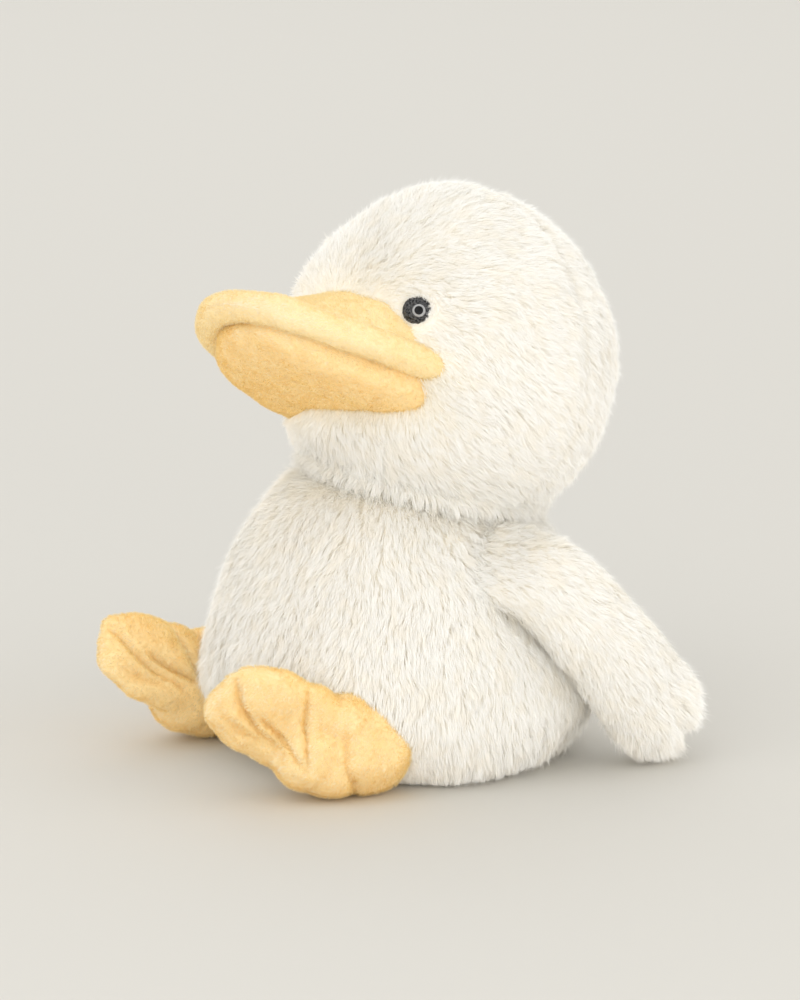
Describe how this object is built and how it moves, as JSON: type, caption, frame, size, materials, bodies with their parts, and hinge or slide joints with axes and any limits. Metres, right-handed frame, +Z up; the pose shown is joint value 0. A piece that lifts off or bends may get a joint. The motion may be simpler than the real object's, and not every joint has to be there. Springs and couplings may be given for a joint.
{
  "type": "plush duck",
  "caption": "Sitting plush duck with a long-pile body and head, a padded bill, soft wings and flopped-out webbed feet.",
  "frame": {"origin": "on the table, at the middle of the flat panel that the body sits on", "axes": "+Z up, -Y where the duck faces, +X to the duck's left"},
  "size_m": [0.1716, 0.2074, 0.2216],
  "materials": {
    "white_plush": "long soft pile, matte",
    "yellow_plush": "short velvety pile, matte",
    "fibre_filling": "loose fibre, matte",
    "bean_bag_cloth": "plain weave, matte",
    "eye_plastic": "polished",
    "washer_plastic": "moulded"
  },
  "bodies": {
    "torso": {"body_front_panel": "white_plush", "body_back_panel": "white_plush", "base_panel": "white_plush", "body_stuffing": "fibre_filling", "bean_bag": "bean_bag_cloth", "tail_cover": "white_plush", "tail_stuffing": "fibre_filling"},
    "neck": {"neck_stuffing": "fibre_filling"},
    "head": {"head_face_left": "white_plush", "head_face_right": "white_plush", "head_back_panel": "white_plush", "head_stuffing": "fibre_filling", "eye_left": "eye_plastic", "eye_right": "eye_plastic", "eye_washer_left": "washer_plastic", "eye_washer_right": "washer_plastic", "bill_upper_cover": "yellow_plush", "bill_upper_stuffing": "fibre_filling", "bill_rim": "yellow_plush", "bill_lower_cover": "yellow_plush", "bill_lower_stuffing": "fibre_filling"},
    "wing_left": {"wing_cover_left": "white_plush", "wing_stuffing_left": "fibre_filling"},
    "wing_right": {"wing_cover_right": "white_plush", "wing_stuffing_right": "fibre_filling"},
    "leg_left": {"leg_cover_left": "yellow_plush", "leg_stuffing_left": "fibre_filling", "foot_sole_left": "yellow_plush", "foot_top_left": "yellow_plush", "foot_stuffing_left": "fibre_filling"},
    "leg_right": {"leg_cover_right": "yellow_plush", "leg_stuffing_right": "fibre_filling", "foot_sole_right": "yellow_plush", "foot_top_right": "yellow_plush", "foot_stuffing_right": "fibre_filling"}
  },
  "joints": [
    {"name": "neck_turn", "type": "hinge", "parent": "torso", "child": "neck", "pos_m": [0, 0.0086, 0.1045], "axis": [0, 0.2588, 0.9659], "range_deg": [-35, 35], "stiffness_Nm_per_rad": 0.3},
    {"name": "head_nod", "type": "hinge", "parent": "neck", "child": "head", "pos_m": [0, 0.0086, 0.1045], "axis": [1, 0, 0], "range_deg": [-7, 7], "stiffness_Nm_per_rad": 0.8},
    {"name": "wing_left_lift", "type": "hinge", "parent": "torso", "child": "wing_left", "pos_m": [0.0586, 0.0068, 0.0929], "axis": [0.3596, -0.7251, -0.5873], "range_deg": [0, 60], "stiffness_Nm_per_rad": 0.04},
    {"name": "wing_right_lift", "type": "hinge", "parent": "torso", "child": "wing_right", "pos_m": [-0.0586, 0.0068, 0.0929], "axis": [0.3596, 0.7251, 0.5873], "range_deg": [0, 60], "stiffness_Nm_per_rad": 0.04},
    {"name": "leg_left_swing", "type": "hinge", "parent": "torso", "child": "leg_left", "pos_m": [0.052, -0.05, 0.0188], "axis": [-1, 0, 0], "range_deg": [-15, 20], "stiffness_Nm_per_rad": 0.15},
    {"name": "leg_right_swing", "type": "hinge", "parent": "torso", "child": "leg_right", "pos_m": [-0.052, -0.05, 0.0188], "axis": [-1, 0, 0], "range_deg": [-15, 20], "stiffness_Nm_per_rad": 0.15}
  ]
}
